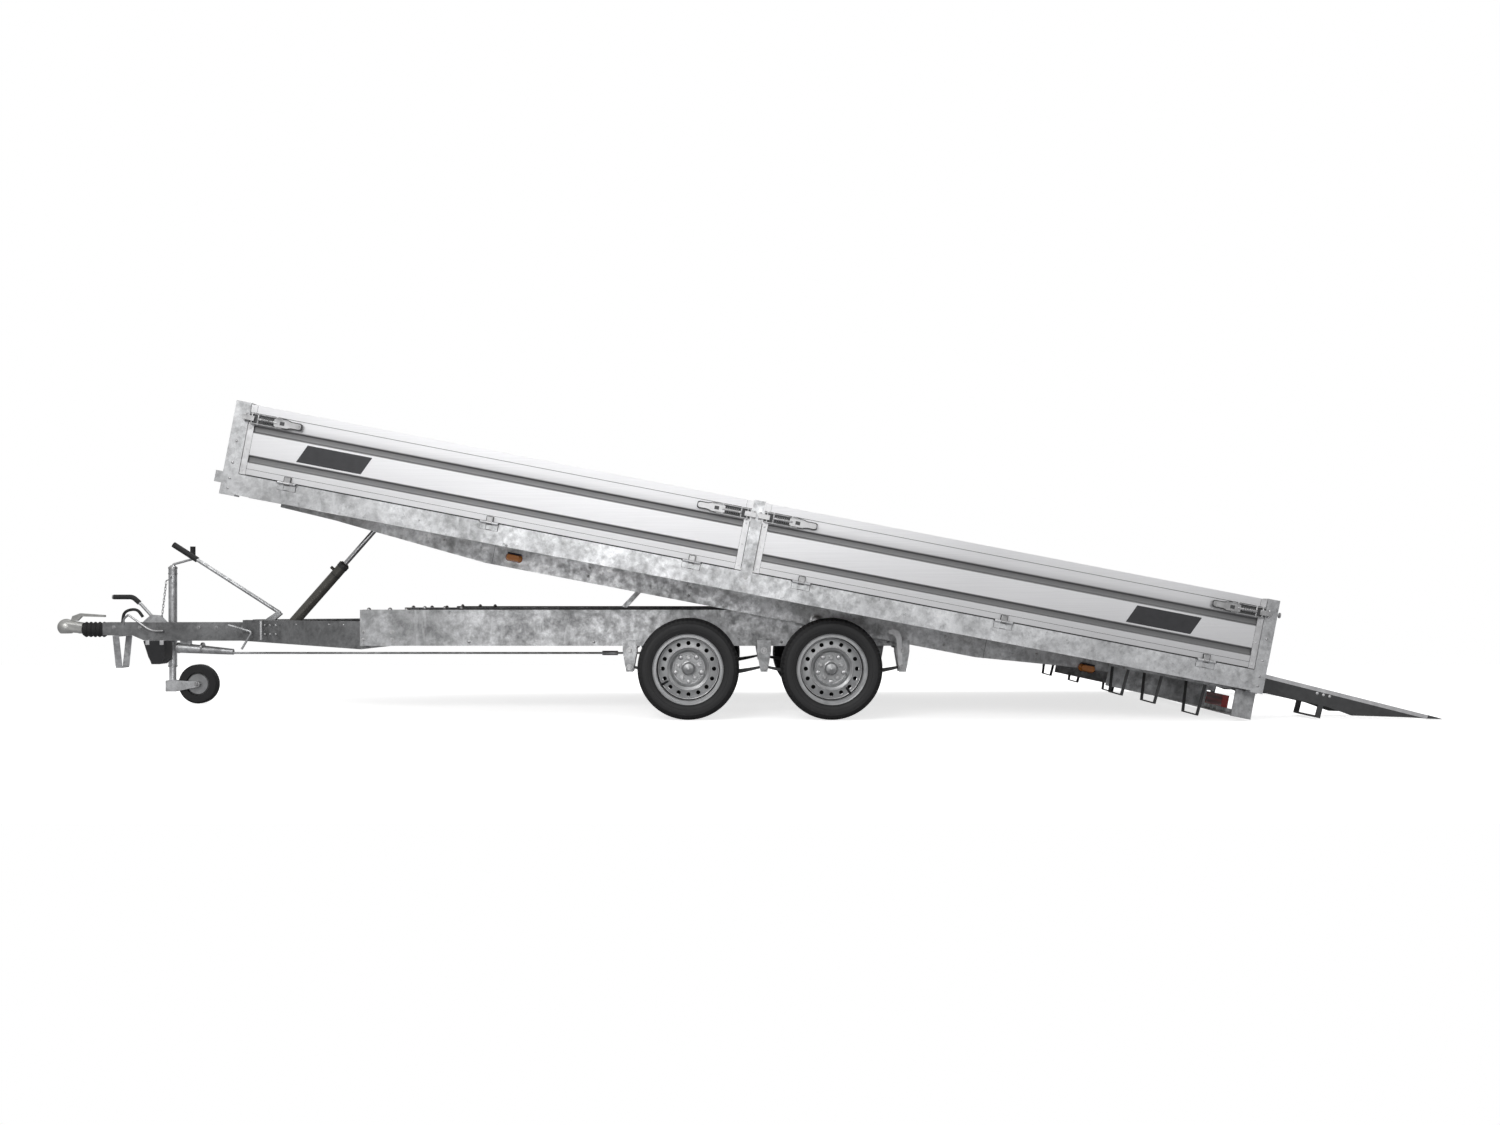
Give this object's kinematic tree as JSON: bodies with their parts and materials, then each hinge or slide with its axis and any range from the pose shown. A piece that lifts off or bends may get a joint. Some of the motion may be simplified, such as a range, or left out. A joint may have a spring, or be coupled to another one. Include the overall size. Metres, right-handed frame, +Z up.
{
  "type": "flatbed trailer",
  "caption": "Tandem-axle tilt-bed flatbed trailer with drop sides, lift cylinder, jockey wheel, ball coupling and rear loading ramps, shown tilted to load.",
  "frame": {"origin": "on the ground, halfway between the coupling's nose and the ramps' tips, on the centre line", "axes": "+X to the rear, +Y to the far side, +Z up"},
  "size_m": [7.594, 2.234, 1.6213],
  "materials": {
    "galvanised": "hot-dip galvanised",
    "aluminium": "anodised",
    "cast": "zinc plated casting",
    "black_steel": "black paint",
    "wheel_silver": "silver paint",
    "tyre": "matt",
    "rubber": "matt",
    "cylinder_paint": "satin",
    "chrome": "polished",
    "plywood": "film-faced plywood",
    "black_plastic": "matt",
    "amber_lens": "gloss",
    "red_lens": "gloss"
  },
  "bodies": {
    "chassis": {"chassis_rails": "galvanised", "rail_pads": "rubber", "chassis_cross_members": "galvanised", "drawbar_arms": "galvanised", "overrun_box": "galvanised", "coupling_head": "cast", "bellows": "rubber", "handbrake_lever": "galvanised", "drawbar_hoop": "galvanised", "wheel_chock": "black_plastic", "brake_linkage": "galvanised", "hand_pump": "galvanised", "jockey_tube": "galvanised", "spring_hangers": "galvanised", "leaf_springs": "black_steel", "axles": "black_steel"},
    "bed": {"bed_side_rails": "galvanised", "bed_beams": "galvanised", "bed_cross_members": "galvanised", "bed_floor": "plywood", "bed_hinges": "galvanised", "bed_posts": "galvanised", "front_wall": "aluminium", "front_beam": "galvanised", "rear_frame": "galvanised", "ramp_stowage": "galvanised", "ramp_hoops": "black_steel", "side_lamps": "amber_lens", "tail_lamps": "red_lens", "bed_prop": "galvanised"},
    "wheel_front_far": {"tyre_front_far": "tyre", "rim_front_far": "wheel_silver"},
    "side_board_front_far": {"board_front_far": "aluminium", "board_fittings_front_far": "galvanised"},
    "wheel_front_near": {"tyre_front_near": "tyre", "rim_front_near": "wheel_silver"},
    "side_board_front_near": {"board_front_near": "aluminium", "board_fittings_front_near": "galvanised"},
    "wheel_rear_far": {"tyre_rear_far": "tyre", "rim_rear_far": "wheel_silver"},
    "side_board_rear_far": {"board_rear_far": "aluminium", "board_fittings_rear_far": "galvanised"},
    "wheel_rear_near": {"tyre_rear_near": "tyre", "rim_rear_near": "wheel_silver"},
    "side_board_rear_near": {"board_rear_near": "aluminium", "board_fittings_rear_near": "galvanised"},
    "tailgate_body": {"tailgate": "aluminium", "tailgate_fittings": "galvanised"},
    "jockey_slider": {"jockey_leg": "galvanised"},
    "jockey_castor": {"jockey_fork": "galvanised"},
    "jockey_roller": {"jockey_tyre": "rubber", "jockey_rim": "wheel_silver"},
    "cylinder_barrel": {"lift_barrel": "cylinder_paint"},
    "cylinder_rod": {"lift_rod": "chrome"},
    "ramp_far_body": {"ramp_far": "black_steel"},
    "ramp_near_body": {"ramp_near": "black_steel"}
  },
  "joints": [
    {"name": "wheel_front_far_spin", "type": "hinge", "parent": "chassis", "child": "wheel_front_far", "pos_m": [-0.0905, 0.8825, 0.262], "axis": [0, 1, 0], "continuous": true},
    {"name": "wheel_front_near_spin", "type": "hinge", "parent": "chassis", "child": "wheel_front_near", "pos_m": [-0.0905, -0.8825, 0.262], "axis": [0, 1, 0], "continuous": true},
    {"name": "wheel_rear_far_spin", "type": "hinge", "parent": "chassis", "child": "wheel_rear_far", "pos_m": [0.6465, 0.8825, 0.262], "axis": [0, 1, 0], "continuous": true},
    {"name": "wheel_rear_near_spin", "type": "hinge", "parent": "chassis", "child": "wheel_rear_near", "pos_m": [0.6465, -0.8825, 0.262], "axis": [0, 1, 0], "continuous": true},
    {"name": "bed_tilt", "type": "hinge", "parent": "chassis", "child": "bed", "pos_m": [0.586, 0, 0.505], "axis": [0, -1, 0], "range_deg": [0, 10.9]},
    {"name": "side_board_front_far_drop", "type": "hinge", "parent": "bed", "child": "side_board_front_far", "pos_m": [-1.08196, 1.102, 1.00543], "axis": [-0.982, 0, 0.1891], "range_deg": [0, 180]},
    {"name": "side_board_front_near_drop", "type": "hinge", "parent": "bed", "child": "side_board_front_near", "pos_m": [-1.08196, -1.102, 1.00543], "axis": [0.982, 0, -0.1891], "range_deg": [0, 180]},
    {"name": "side_board_rear_far_drop", "type": "hinge", "parent": "bed", "child": "side_board_rear_far", "pos_m": [1.49765, 1.102, 0.50868], "axis": [-0.982, 0, 0.1891], "range_deg": [0, 180]},
    {"name": "side_board_rear_near_drop", "type": "hinge", "parent": "bed", "child": "side_board_rear_near", "pos_m": [1.49765, -1.102, 0.50868], "axis": [0.982, 0, -0.1891], "range_deg": [0, 180]},
    {"name": "tailgate_drop", "type": "hinge", "parent": "bed", "child": "tailgate_body", "pos_m": [2.82439, 0, 0.25115], "axis": [0, 1, 0], "range_deg": [0, 90]},
    {"name": "ramp_far_lift", "type": "hinge", "parent": "bed", "child": "ramp_far_body", "pos_m": [2.83941, 0.78, 0.234], "axis": [0, 1, 0], "range_deg": [-35, 0]},
    {"name": "ramp_near_lift", "type": "hinge", "parent": "bed", "child": "ramp_near_body", "pos_m": [2.83941, -0.78, 0.234], "axis": [0, 1, 0], "range_deg": [-35, 0]},
    {"name": "jockey_wind", "type": "slide", "parent": "chassis", "child": "jockey_slider", "axis": [0, 0, 1], "range_m": [0, 0.07]},
    {"name": "jockey_swivel", "type": "hinge", "parent": "jockey_slider", "child": "jockey_castor", "pos_m": [-3.168, 0.092, 0.13715], "axis": [0, 0, 1], "continuous": true},
    {"name": "jockey_spin", "type": "hinge", "parent": "jockey_castor", "child": "jockey_roller", "pos_m": [-3.012, 0.092, 0.115], "axis": [0, 1, 0], "continuous": true},
    {"name": "cylinder_swing", "type": "hinge", "parent": "chassis", "child": "cylinder_barrel", "pos_m": [-2.469, 0, 0.43], "axis": [0, 1, 0], "range_deg": [0, 27.9]},
    {"name": "cylinder_stroke", "type": "slide", "parent": "cylinder_barrel", "child": "cylinder_rod", "axis": [0.6613, 0, 0.7501], "range_m": [-0.338, 0]}
  ],
  "couplings": [
    {"joint": "cylinder_swing", "follows": "bed_tilt", "ratio": 2.5575},
    {"joint": "cylinder_stroke", "follows": "bed_tilt", "m_per_rad": -1.7738}
  ]
}
